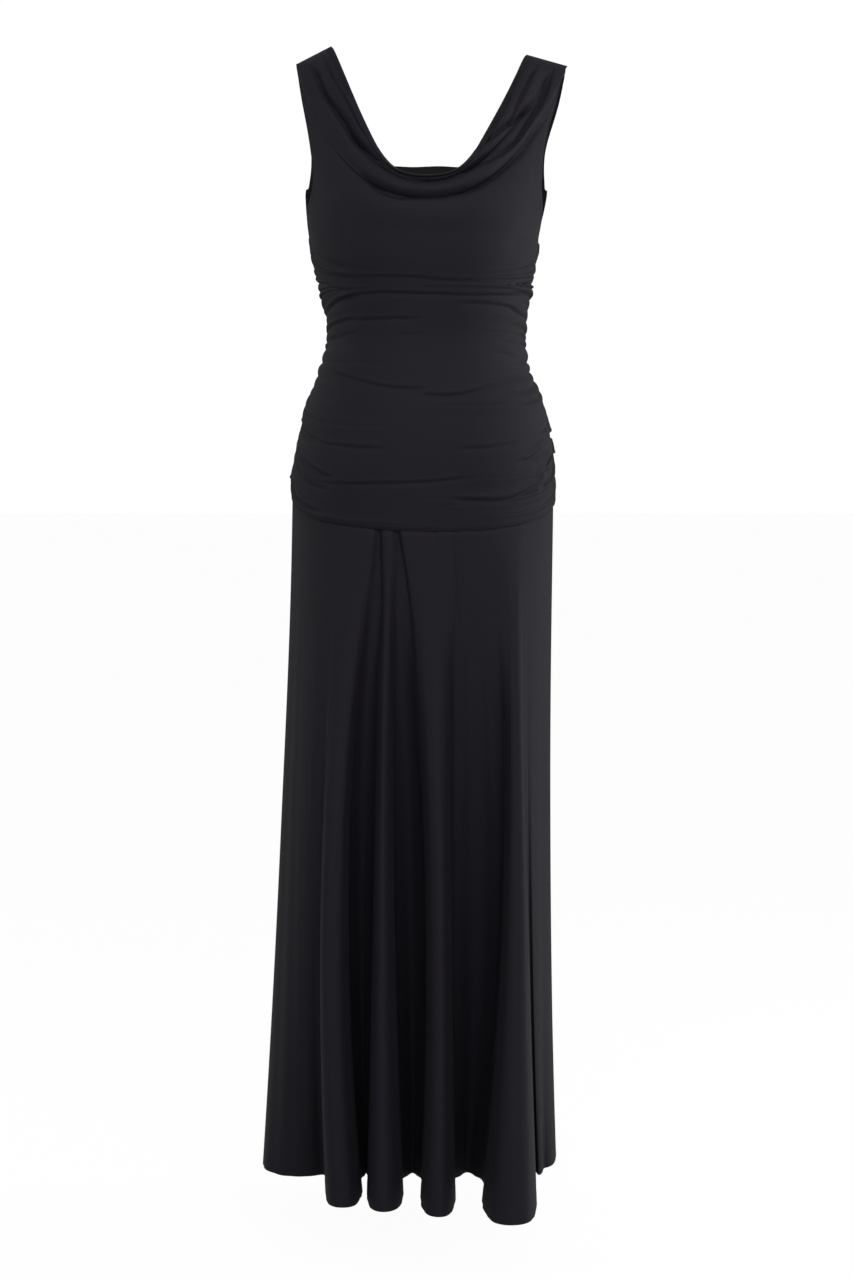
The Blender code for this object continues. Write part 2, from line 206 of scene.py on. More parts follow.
@dataclass
class Ruching:
    """The gathers drawn up along both side seams, from the underarm to the drop seam."""

    top: float = -0.222
    foot: float = -0.545
    count: int = 30
    sag: float = 0.3
    swag_run: float = 0.045
    pull: float = 0.0026
    pull_run: float = 0.014
    swags: tuple[tuple[float, float], ...] = (
        (-0.56, -0.030),
        (-0.50, -0.046),
        (-0.44, -0.038),
        (-0.395, -0.012),
        (-0.350, 0.016),
        (-0.310, 0.018),
        (-0.270, -0.012),
        (-0.220, -0.048),
    )

    def turns(self, side: int) -> tuple[Grid, Grid, Grid]:
        """The uneven run of gathers on one side.

        Args:
            side: -1 for left, 1 for right.

        Returns:
            The heights of the tucks from the foot up, then how proud and how long each gather is.
        """
        dice = np.random.default_rng(11 + side)
        run = np.concatenate([[0.0], np.cumsum(dice.uniform(0.5, 1.5, self.count))])
        tucks = self.foot + (self.top - self.foot) * run / run[-1]
        height = dice.uniform(0.0022, 0.0056, self.count + 2)
        length = dice.uniform(0.024, 0.058, self.count + 2)
        length *= 1 + (dice.uniform(0, 1, self.count + 2) > 0.7)
        return tucks, height, length

    def relief(self, grid: Grid, seam_rows: Grid) -> Grid:
        """How far the gathers lift each point of a bodice panel.

        Args:
            grid: The panel's points, from left to right in each row.
            seam_rows: How fully each row ends on a side seam, from 0 to 1.

        Returns:
            The lift of each point.
        """
        run = run_along(grid, 1)
        lift = np.zeros(run.shape)
        heights, drops = zip(*self.swags)
        for side in (-1, 1):
            away = run if side < 0 else run[:, -1:] - run
            half = away < run[:, -1:] * 0.5
            end = grid[:, :1] if side < 0 else grid[:, -1:]
            level = grid[..., 2] - (grid[..., 2] - end[..., 2]) * self.sag
            bend = 1 - np.exp(-away / self.swag_run)
            start = level
            for _ in range(8):
                start = level - smooth(heights, drops, start) * bend
            tucks, height, length = self.turns(side)
            phase = np.interp(start, tucks, np.arange(len(tucks)))
            place = np.clip(np.floor(phase).astype(int), 0, self.count - 1)
            share = phase - place
            weight = ease(0.0, 1.0, share)
            long = length[place] * (1 - weight) + length[place + 1] * weight
            proud = height[place] * np.exp(-((away / long) ** 1.3))
            round_top = np.abs(np.sin(np.pi * np.clip(share, 0, 1))) ** 0.6
            inside = ease(self.foot - 0.004, self.foot + 0.004, start)
            inside *= ease(self.top + 0.004, self.top - 0.004, start)
            pulled = self.pull * np.exp(-away / self.pull_run)
            lift += half * inside * (proud * round_top - pulled)
        return lift * seam_rows[:, None]


@dataclass(frozen=True)
class Crease:
    """A listed crease: a trough along its points with a low lip over it, in millimetres.

    The cloth over the line and the cloth under it each have a width in which they leave the trough.
    Its ends fade over the taper, from a share of the depth at the start. The lip is a share too.
    """

    points: tuple[tuple[float, float], ...]
    depth: float = 1.3
    over: float = 1.5
    under: float = 4.2
    lip: float = 0.30
    taper: float = 34
    start: float = 0.0

    def line(self) -> Grid:
        """The crease's points with more between them, on a smooth curve."""
        given = np.array(self.points) * MILLIMETRE
        steps = np.concatenate([[0.0], np.cumsum(np.linalg.norm(np.diff(given, axis=0), axis=1))])
        fine = np.linspace(0, steps[-1], 1 + 5 * (len(given) - 1))
        return np.stack([smooth(steps, column, fine) for column in given.T], axis=1)

    def relief(self, x: Grid, z: Grid) -> Grid:
        """How far the crease moves each point of a panel, below zero in its trough."""
        best = np.full(x.shape, 1.0)
        across = np.zeros(x.shape)
        along = np.zeros(x.shape)
        total = 0.0
        line = self.line()
        for (x0, z0), (x1, z1) in zip(line, line[1:]):
            dx, dz = x1 - x0, z1 - z0
            long = math.hypot(dx, dz)
            share = np.clip(((x - x0) * dx + (z - z0) * dz) / long**2, 0, 1)
            off_x, off_z = x - x0 - share * dx, z - z0 - share * dz
            gap = np.hypot(off_x, off_z)
            side = (dx * off_z - dz * off_x) * (1 if dx >= 0 else -1)
            near = gap < best
            best = np.where(near, gap, best)
            across = np.where(near, np.where(side < 0, -gap, gap), across)
            along = np.where(near, total + share * long, along)
            total += long
        taper, over = self.taper * MILLIMETRE, self.over * MILLIMETRE
        ends = self.start + (1 - self.start) * ease(0, taper, along)
        ends *= ease(total, total - taper, along)
        width = np.where(across > 0, over, self.under * MILLIMETRE)
        trough = np.exp(-((np.abs(across) / width) ** 1.5))
        lip = self.lip * bell(across - over * 2.6, over * 1.6)
        return self.depth * MILLIMETRE * ends * (lip - trough)


@dataclass(frozen=True)
class Hang:
    """A row of a bodice panel.

    Its left and right end, its height at the centre, how full it turns and how far its corner goes.
    """

    left_x: float
    left_z: float | None
    right_x: float
    right_z: float | None
    centre_z: float | None
    fullness: float
    corner: float = 0.6667


@dataclass(frozen=True)
class Roll:
    """A roll of the cowl between two rows, how far it stands out and how far it sinks."""

    lower: float
    upper: float
    proud: float
    sink: float
    lean: float = 0.8
    tuck: float = 0.7


@dataclass
class Panel:
    """A panel of cloth on a grid of points, made into a thin closed shell.

    A level edge moves in from the side seams without turning to the front or the back.
    """

    name: str
    node: str
    face: Face
    form: WornForm = field(default_factory=WornForm)
    wall: float = 0.0013
    level_edge: bool = True
    creases: tuple[Crease, ...] = ()
    half_gap: float = 0.00004
    drop_gap: float = 0.00025
    seam_dip: float = 0.0011
    seam_width: float = 0.0026

    def outward(self, grid: Grid, level: Grid | slice) -> Grid:
        """Unit normals that look out of the dress.

        Args:
            grid: The panel's points.
            level: The rows whose ends lie on a seam and turn neither to the front nor to the back.

        Returns:
            The normals.
        """
        normal = normals_of(grid)
        if np.sum(normal[..., 1] * self.face.value) < 0:
            normal = -normal
        normal[level, 0, 1] = 0.0
        normal[level, -1, 1] = 0.0
        return normal / np.maximum(np.linalg.norm(normal, axis=2, keepdims=True), 1e-9)

    def drop_dip(self, grid: Grid) -> Grid:
        """The dip of the cloth into the drop seam, along the grid's first row."""
        return -self.seam_dip * bell(run_along(grid, 0), self.seam_width)

    @staticmethod
    def quads(index: Grid) -> Grid:
        """The quads of a grid of point numbers."""
        corners = [index[:-1, :-1], index[:-1, 1:], index[1:, 1:], index[1:, :-1]]
        return np.stack(corners, axis=2).reshape(-1, 4)

    @staticmethod
    def rim(index: Grid) -> Grid:
        """The point numbers round the edge of a grid."""
        return np.concatenate([index[0], index[1:, -1], index[-1, -2::-1], index[-2:0:-1, 0]])

    def build(self, outer: Grid, finish: bpy.types.Material) -> bpy.types.Object:
        """Make the panel's shell from its outer face.

        Args:
            outer: The outer face's points.
            finish: The cloth's material.

        Returns:
            The panel.
        """
        normal = self.outward(outer, slice(None) if self.level_edge else slice(0))
        inner = (outer - normal * self.wall)[::2, ::2]
        rows, columns = outer.shape[:2]
        across, down = run_along(outer, 1), run_along(outer, 0)
        across = across - across[:, columns // 2][:, None]
        chart = np.stack([across, down], axis=2)
        lining_chart = chart[::2, ::2].reshape(-1, 2) + np.array([2.5, 0.0])
        points = np.concatenate([outer.reshape(-1, 3), inner.reshape(-1, 3)])
        chart = np.concatenate([chart.reshape(-1, 2), lining_chart])
        index = np.arange(rows * columns).reshape(rows, columns)
        below = np.arange(inner[..., 0].size).reshape(inner.shape[:2]) + rows * columns
        fine, coarse = self.rim(index), self.rim(below)
        first, last = np.arange(0, len(fine), 2), np.roll(coarse, -1)
        ahead = np.roll(fine, -2)[first]
        sides = np.stack([ahead, fine[first + 1], fine[first], coarse, last], axis=1)
        quads = np.concatenate([self.quads(index), self.quads(below)[:, ::-1]])
        middle = quads[len(self.quads(index)) // 2]
        a, b, c, d = points[middle]
        facing = np.cross(c - a, d - b)
        if np.dot(facing, normal.reshape(-1, 3)[middle[0]]) < 0:
            quads, sides = quads[:, ::-1], sides[:, ::-1]
        corners = np.concatenate([quads.ravel(), sides.ravel()])
        starts = [np.arange(0, quads.size, 4), quads.size + np.arange(0, sides.size, 5)]
        starts = np.concatenate(starts)
        mesh = bpy.data.meshes.new(self.name)
        mesh.vertices.add(len(points))
        mesh.vertices.foreach_set("co", points.astype(np.float32).ravel())
        mesh.loops.add(len(corners))
        mesh.loops.foreach_set("vertex_index", corners.astype(np.int32))
        mesh.polygons.add(len(starts))
        mesh.polygons.foreach_set("loop_start", starts.astype(np.int32))
        mesh.update(calc_edges=True)
        layer = mesh.uv_layers.new(name="cloth")
        layer.data.foreach_set("uv", chart[corners].astype(np.float32).ravel())
        mesh.polygons.foreach_set("use_smooth", np.ones(len(starts), bool))
        mesh.set_sharp_from_angle(angle=math.radians(75))
        mesh.materials.append(finish)
        mesh.validate()
        piece = bpy.data.objects.new(self.name, mesh)
        bpy.context.scene.collection.objects.link(piece)
        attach(piece, "root")
        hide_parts(self.node)
        return piece


@dataclass
class BodicePanel(Panel):
    """A bodice panel, from the drop seam up to the shoulder seams and the neck edge."""

    ruching: Ruching = field(default_factory=Ruching)
    hangs: tuple[Hang, ...] = ()
    rows_between: tuple[int, ...] = ()
    rolls: tuple[Roll, ...] = ()
    side_columns: int = 80
    crowding: float = 1.15
    underarm: float = 4.0
    shoulder: float = 8.0
    calm_run: float = 0.012
    turn_in: float = 0.010
    turn_radius: float = 0.0016

    def row_places(self) -> Grid:
        """Where the rows of the fine grid lie among the hangs."""
        runs = [np.linspace(i, i + 1, n, endpoint=False) for i, n in enumerate(self.rows_between)]
        return np.concatenate([*runs, [float(len(self.rows_between))]])

    def half_row(self, row: float, side: int, t: Grid) -> Grid:
        """Half a row of the panel on the bare form, from the centre out.

        Args:
            row: Which row, as a place among the hangs.
            side: -1 for left, 1 for right.
            t: Places along the half row, 0 at the centre and 1 at its end.

        Returns:
            The points.
        """
        count = np.arange(len(self.hangs))
        name = "left" if side < 0 else "right"
        drop = self.form.drop_z
        low = [drop if h.centre_z is None else h.centre_z for h in self.hangs]
        end_z = [drop if h.left_z is None else getattr(h, name + "_z") for h in self.hangs]
        end_x = [getattr(h, name + "_x") for h in self.hangs]
        ends = [x / float(self.form.reach(side, z)) if x else 1.0 for x, z in zip(end_x, end_z)]
        end = 1.0 if row <= self.underarm else min(float(smooth(count, ends, row)), 1.0)
        stop = float(smooth(count, end_z, row))
        if row >= self.shoulder:
            x_end = float(np.interp(row, count, end_x))
            stop = float(self.form.shoulder(side * x_end))
            end = x_end / float(self.form.reach(side, stop))
        full = smooth(count, [h.fullness for h in self.hangs], row)
        pull = smooth(count, [h.corner for h in self.hangs], row)
        near, far = 3 * t * (1 - t) ** 2, 3 * t * t * (1 - t)
        share = side * end * (near * pull * full + far * (1 + pull * (full - 1)) + t**3)
        centre = smooth(count, low, row)
        z = centre + (stop - centre) * (far * (1 - pull) + t**3)
        if row < 1:
            z = low[1] + (end_z[1] - low[1]) * t * t
            z = self.form.drop_seam(share, self.face)[:, 2] * (1 - row) + z * row
        return self.form.on_body(share, z, self.face)

    def base(self) -> tuple[Grid, Grid, Grid]:
        """The bare panel with the row place and the signed run of each of its points."""
        t = 1 - (1 - np.linspace(0, 1, self.side_columns + 1)) ** self.crowding
        places = self.row_places()
        grid = []
        for row in places:
            left = self.half_row(float(row), -1, t)
            right = self.half_row(float(row), 1, t)
            grid.append(np.concatenate([left[::-1], right[1:]]))
        signed = np.concatenate([-t[::-1], t[1:]])
        rows, run = np.meshgrid(places, signed, indexing="ij")
        return np.array(grid), rows, run

    def roll_shift(self, roll: Roll, rows: Grid, run: Grid) -> tuple[Grid, Grid]:
        """How far one roll of the cowl moves each point outwards and down."""
        tau = np.clip((roll.upper - rows) / (roll.upper - roll.lower), 0, 1)
        shape = tau**roll.lean * (1 - tau) ** roll.tuck
        peak = roll.lean / (roll.lean + roll.tuck)
        shape = shape / (peak**roll.lean * (1 - peak) ** roll.tuck)
        away = np.abs(run)
        reach = 0.30 + 0.70 * ease(1.0, 0.35, away)
        fade = ease(1.0, 0.93, away)
        return roll.proud * shape * reach * fade, roll.sink * shape * ease(0.8, 0.2, away)

    def shaped(self) -> Grid:
        """The panel's outer face with its rolls, pleats, gathers, creases and turned edges."""
        grid, rows, run = self.base()
        on_seam = (rows[:, 0] <= self.underarm) | (rows[:, 0] >= self.shoulder)
        normal = self.outward(grid, on_seam)
        lift = self.ruching.relief(grid, ease(self.underarm + 0.6, self.underarm, rows[:, 0]))
        across = run_along(grid, 1)
        from_end = np.minimum(across, across[:, -1:] - across)
        calm = ease(self.shoulder - 0.15, self.shoulder, rows) * ease(self.calm_run, 0.0, from_end)
        x, z = grid[..., 0], grid[..., 2]
        for crease in self.creases:
            lift += (1 - calm) * crease.relief(x, z)
        lift += self.edges(grid, rows)
        sink = np.zeros(lift.shape)
        for roll in self.rolls:
            proud, down = self.roll_shift(roll, rows, run)
            lift += proud
            sink += down
        shaped = grid + normal * lift[..., None]
        shaped[..., 2] -= sink
        shaped[:, :, 1] += self.half_gap * self.face.value
        shaped[:, :, 2] += self.drop_gap
        return self.turned(shaped)

    def edges(self, grid: Grid, rows: Grid) -> Grid:
        """The lift of the stitched armhole edges and the dip into the drop seam."""
        across = run_along(grid, 1)
        away = np.minimum(across, across[:, -1:] - across)
        arm = ease(self.underarm, self.underarm + 0.3, rows)
        arm *= ease(self.shoulder, self.shoulder - 0.1, rows)
        hem = 0.0005 * ease(0.0085, 0.0065, away) - 0.0004 * bell(away - 0.0075, 0.0009)
        return arm * hem + self.drop_dip(grid)

    def turned(self, grid: Grid) -> Grid:
        """The panel with its neck edge turned in."""
        edge = grid[-1]
        onward = edge - grid[-2]
        onward /= np.maximum(np.linalg.norm(onward, axis=1, keepdims=True), 1e-9)
        inward = np.array([0.0, -self.face.value, 0.0])
        added = []
        middle = np.linspace(-1, 1, len(edge))
        amount = ease(1.0, 0.97, np.abs(middle))[:, None]
        quarters = (0.25, 0.5, 0.75, 1.0)
        for angle in (math.pi * quarter for quarter in quarters):
            curl = onward * math.sin(angle) + inward * (1 - math.cos(angle))
            added.append(edge + curl * self.turn_radius * amount)
        last = added[-1]
        for quarter in quarters:
            added.append(last - onward * (self.turn_in * quarter) * amount)
        return np.concatenate([grid, np.array(added)])


@dataclass(frozen=True)
class Turn:
    """A line of the skirt beside a side seam.

    Its share at the drop seam, then its place midway (m) and at the hem (h).
    """

    seam: float
    m_x: float
    m_y: float
    h_x: float
    h_y: float


@dataclass(frozen=True)
class Fold:
    """A pipe fold of the skirt.

    The tuck on its right at the drop seam and half its width there, how softly its left side
    starts, then midway and at the hem its left and right edge, its crest and the gap on its right.
    """

    tuck: float
    pinch: float
    open: float
    mid: tuple[float, float, float, float]
    hem: tuple[float, float, float, float]


@dataclass
class SkirtPanel(Panel):
    """A flared skirt panel that falls from the drop seam in pipe folds."""

    left: tuple[Turn, ...] = ()
    folds: tuple[Fold, ...] = ()
    right: tuple[Turn, ...] = ()
    shape: tuple[tuple[float, float, float], ...] = (
        (0.02, 0.07, 0.21),
        (0.05, 0.01, 0.62),
        (0.18, 0.16, 0.92),
        (0.50, 0.50, 1.00),
        (0.82, 0.84, 0.92),
        (0.95, 0.99, 0.62),
        (0.98, 0.93, 0.21),
    )
    hem_z: float = -1.400
    midway: float = 0.48
    lag: float = 0.5
    softening: int = 150
    columns_between: int = 6
    rows: int = 180
    flutes: int = 3
    hem_stitch: float = 0.020

    def lines(self) -> Grid:
        """Each line down the skirt: its share at the seam, then its place midway and at the hem."""
        found = [astuple(turn) for turn in self.left]
        seam = self.left[-1].seam
        before = np.array([self.left[-1].m_y, self.left[-1].h_y])
        after = [(fold.mid[0], fold.hem[0]) for fold in self.folds[1:]]
        after.append((self.right[0].m_x, self.right[0].h_x))
        for fold, ahead in zip(self.folds, np.array(after)):
            edge = fold.tuck - fold.pinch
            left, right, crest, gap = np.array([fold.mid, fold.hem]).T
            for at_seam, place, height in self.shape:
                base = before + (gap - before) * place
                spot = left + (right - left) * place, base + (crest - base) * height
                spread = at_seam ** (1 - fold.open)
                found.append((seam + (edge - seam) * spread, *np.transpose(spot).ravel()))
            for share, dip in ((0.2, 0.08), (0.5, 0.0), (0.8, 0.08)):
                if fold is self.folds[-1] and share > 0.5:
                    continue
                spot = right + (ahead - right) * share, gap + (crest - gap) * dip
                found.append((edge + 2 * fold.pinch * share, *np.transpose(spot).ravel()))
            seam, before = fold.tuck + fold.pinch, gap
        return np.array(found + [astuple(turn) for turn in self.right])

    def base(self) -> Grid:
        """The bare panel, from the drop seam down to the hem."""
        share, m_x, m_y, h_x, h_y = self.lines().T
        count = np.arange(len(share), dtype=float)
        fine = np.linspace(0, count[-1], (len(share) - 1) * self.columns_between + 1)
        top = self.form.drop_seam(smooth(count, share, fine), self.face)
        mid = np.stack([smooth(count, m_x, fine), smooth(count, m_y, fine)], axis=1)
        hem = np.stack([smooth(count, h_x, fine), smooth(count, h_y, fine)], axis=1)
        down = np.linspace(0, 1, self.rows + 1) ** 1.15
        grid = []
        for v in down:
            late = v - self.lag * v * max(1 - v / self.midway, 0.0) ** 2
            at_seam = (late - self.midway) * (late - 1) / self.midway
            at_mid = late * (late - 1) / (self.midway * (self.midway - 1))
            at_hem = late * (late - self.midway) / (1 - self.midway)
            plan = top[:, :2] * at_seam + mid * at_mid + hem * at_hem
            z = top[:, 2] + (self.hem_z - top[:, 2]) * v
            grid.append(np.concatenate([plan, z[:, None]], axis=1))
        return self.softened(np.array(grid), down)

    def softened(self, grid: Grid, down: Grid) -> Grid:
        """The panel with its folds rounded off where they start under the drop seam."""
        soft = grid.copy()
        for _ in range(self.softening):
            soft[:, 1:-1] = soft[:, 1:-1] * 0.5 + (soft[:, :-2] + soft[:, 2:]) * 0.25
        amount = ease(0.60, 0.02, down)[:, None, None]
        return grid * (1 - amount) + soft * amount

    def shaped(self) -> Grid:
        """The panel's outer face with its creases, seam dip and hem."""
        grid = self.base()
        normal = self.outward(grid, slice(None))
        lift = self.drop_dip(grid) + self.flutter(grid)
        for crease in self.creases:
            lift += crease.relief(grid[..., 0], grid[..., 2])
        lift -= 0.0004 * bell(grid[..., 2] - self.hem_z - self.hem_stitch, 0.0012)
        shaped = grid + normal * lift[..., None]
        shaped[:, :, 1] += self.half_gap * self.face.value
        shaped[:, :, 2] -= self.drop_gap
        return shaped

    def flutter(self, grid: Grid) -> Grid:
        """The faint uneven flutes between the folds, fuller towards the hem."""
        dice = np.random.default_rng(self.flutes)
        along = run_along(grid, 1)[-1][None]
        down = np.linspace(0, 1, len(grid))[:, None]
        lift = np.zeros(grid.shape[:2])
        for length in (0.052, 0.031, 0.019):
            shift, drift = dice.uniform(0, 6.28), dice.uniform(-0.5, 0.5)
            sway = np.sin(along / length * 1.7 + dice.uniform(0, 6.28)) * 1.2
            wave = np.sin(2 * math.pi * along / length + shift + drift * down + sway)
            lift += wave * length * 0.008
        from_side = np.minimum(along, along[:, -1:] - along)
        return lift * ease(0.0, 0.55, down) * ease(0.002, 0.020, from_side)


@dataclass
class LiningPanel(Panel):
    """The strip of lining that stands straight across behind the cowl."""

    wall: float = 0.0010
    level_edge: bool = False
    top_z: float = -0.1490
    foot_z: float = -0.1860
    half_width: float = 0.084
    stand_off: float = 0.0105
    columns: int = 120
    rows: int = 24

    def shaped(self) -> Grid:
        """The lining's outer face, from its foot up to its turned top edge."""
        across = np.linspace(-1, 1, self.columns + 1)
        grid = []
        for up in np.linspace(0, 1, self.rows + 1):
            foot = self.foot_z + 0.020 * across**2
            z = foot + (self.top_z - foot) * up
            z = z + 0.0006 * np.sin(across * 9.0) * up
            x = across * self.half_width
            points = self.form.on_body(x / self.form.reach(x, z), z, self.face)
            lean = self.stand_off * math.sin(min(up * 1.5, 1.0) * math.pi / 2)
            points[:, 1] += 0.0035 + lean * (1 - 0.3 * across**2)
            grid.append(points)
        return np.array(grid)


@dataclass(frozen=True)
class Jersey:
    """A jersey finish: its colour, how rough it is, its nap and the size of its knit."""

    name: str
    colour: tuple[float, float, float]
    roughness: float
    specular: float
    sheen: float
    sheen_rough: float
    wale: float = 0.0011
    course: float = 0.0009
    relief: float = 0.35
    fading: float = 0.12
    knit_height: float = 0.0003
    sheen_tint: tuple[float, float, float, float] = (0.93, 0.90, 1.0, 1.0)

    def material(self, knit: bpy.types.ShaderNodeTree) -> bpy.types.Material:
        """The finish as a material, with the knit from the shared group.

        Args:
            knit: The shared knit group.

        Returns:
            The material.
        """
        made = bpy.data.materials.new(self.name)
        made.use_nodes = True
        nodes, links = made.node_tree.nodes, made.node_tree.links
        bsdf = nodes["Principled BSDF"]
        chart = nodes.new("ShaderNodeUVMap")
        chart.uv_map = "cloth"
        place = nodes.new("ShaderNodeTexCoord")
        group = nodes.new("ShaderNodeGroup")
        group.node_tree = knit
        bump = nodes.new("ShaderNodeBump")
        colour = (*self.colour, 1.0)
        for node, name, value in (
            (bsdf, "Base Color", colour),
            (bsdf, "Roughness", self.roughness),
            (bsdf, "Specular IOR Level", self.specular),
            (bsdf, "Sheen Weight", self.sheen),
            (bsdf, "Sheen Roughness", self.sheen_rough),
            (bsdf, "Sheen Tint", self.sheen_tint),
            (group, "Colour", colour),
            (group, "Wale", 1.0 / self.wale),
            (group, "Course", 1.0 / self.course),
            (group, "Roughness", self.roughness),
            (group, "Fading", self.fading),
            (bump, "Strength", self.relief),
            (bump, "Distance", self.knit_height),
        ):
            node.inputs[name].default_value = value
        links.new(chart.outputs["UV"], group.inputs["Chart"])
        links.new(place.outputs["Object"], group.inputs["Place"])
        links.new(group.outputs["Colour"], bsdf.inputs["Base Color"])
        links.new(group.outputs["Roughness"], bsdf.inputs["Roughness"])
        links.new(group.outputs["Height"], bump.inputs["Height"])
        links.new(bump.outputs["Normal"], bsdf.inputs["Normal"])
        return made


class KnitGroup:
    """Builds the shared jersey knit: rows of small loops, slight fading and a little fuzz."""

    def __init__(self) -> None:
        """Start an empty group with its sockets."""
        self.tree = bpy.data.node_groups.new("jersey_knit", "ShaderNodeTree")
        sockets = self.tree.interface
        for name, kind, way in (
            ("Chart", "Vector", "INPUT"),
            ("Place", "Vector", "INPUT"),
            ("Colour", "Color", "INPUT"),
            ("Wale", "Float", "INPUT"),
            ("Course", "Float", "INPUT"),
            ("Roughness", "Float", "INPUT"),
            ("Fading", "Float", "INPUT"),
            ("Colour", "Color", "OUTPUT"),
            ("Roughness", "Float", "OUTPUT"),
            ("Height", "Float", "OUTPUT"),
        ):
            sockets.new_socket(name, in_out=way, socket_type="NodeSocket" + kind)
        self.inlet = self.tree.nodes.new("NodeGroupInput")
        self.outlet = self.tree.nodes.new("NodeGroupOutput")

    def maths(
        self, operation: str, first: object, second: object = 0.0
    ) -> bpy.types.NodeSocket:
        """Add a Math node on two sockets or numbers and return its result."""
        node = self.tree.nodes.new("ShaderNodeMath")
        node.operation = operation
        for slot, given in zip(node.inputs, (first, second)):
            if isinstance(given, bpy.types.NodeSocket):
                self.tree.links.new(given, slot)
            else:
                slot.default_value = given
        return node.outputs[0]

    def noise(
        self, place: bpy.types.NodeSocket, scale: float, detail: float
    ) -> bpy.types.NodeSocket:
        """Add a noise texture at a scale and return its value."""
        node = self.tree.nodes.new("ShaderNodeTexNoise")
        node.inputs["Scale"].default_value = scale
        node.inputs["Detail"].default_value = detail
        self.tree.links.new(place, node.inputs["Vector"])
        return node.outputs["Fac"]

    def blend(self, more: bpy.types.NodeSocket, less: bpy.types.NodeSocket) -> bpy.types.NodeSocket:
        """Mix two values, six parts to four."""
        parts = self.maths("MULTIPLY", more, 0.6), self.maths("MULTIPLY", less, 0.4)
        return self.maths("ADD", *parts)

    def build(self) -> bpy.types.ShaderNodeTree:
        """Wire the knit and return the group."""
        take, link = self.inlet.outputs, self.tree.links.new
        split = self.tree.nodes.new("ShaderNodeSeparateXYZ")
        link(take["Chart"], split.inputs[0])
        across = self.maths("MULTIPLY", split.outputs[0], take["Wale"])
        down = self.maths("MULTIPLY", split.outputs[1], take["Course"])
        turn = 2 * math.pi
        wale = self.maths("SINE", self.maths("MULTIPLY", across, turn))
        lean = self.maths("MULTIPLY", self.maths("ABSOLUTE", wale), 0.55)
        loops = self.maths("SINE", self.maths("MULTIPLY", self.maths("ADD", down, lean), turn))
        weave = self.blend(wale, loops)
        fuzz = self.noise(take["Place"], 900.0, 2.0)
        cloudy = self.noise(take["Place"], 7.0, 3.0)
        height = self.maths("ADD", weave, self.maths("MULTIPLY", fuzz, 0.8))
        link(height, self.outlet.inputs["Height"])
        tone = self.blend(cloudy, fuzz)
        swing = self.maths("MULTIPLY", self.maths("SUBTRACT", tone, 0.5), take["Fading"])
        gain = self.maths("ADD", swing, 1.0)
        tint = self.tree.nodes.new("ShaderNodeVectorMath")
        tint.operation = "SCALE"
        link(take["Colour"], tint.inputs[0])
        link(gain, tint.inputs["Scale"])
        link(tint.outputs[0], self.outlet.inputs["Colour"])
        nap = self.maths("MULTIPLY", self.maths("SUBTRACT", fuzz, 0.5), 0.12)
        rough = self.maths("ADD", take["Roughness"], nap)
        link(rough, self.outlet.inputs["Roughness"])
        return self.tree


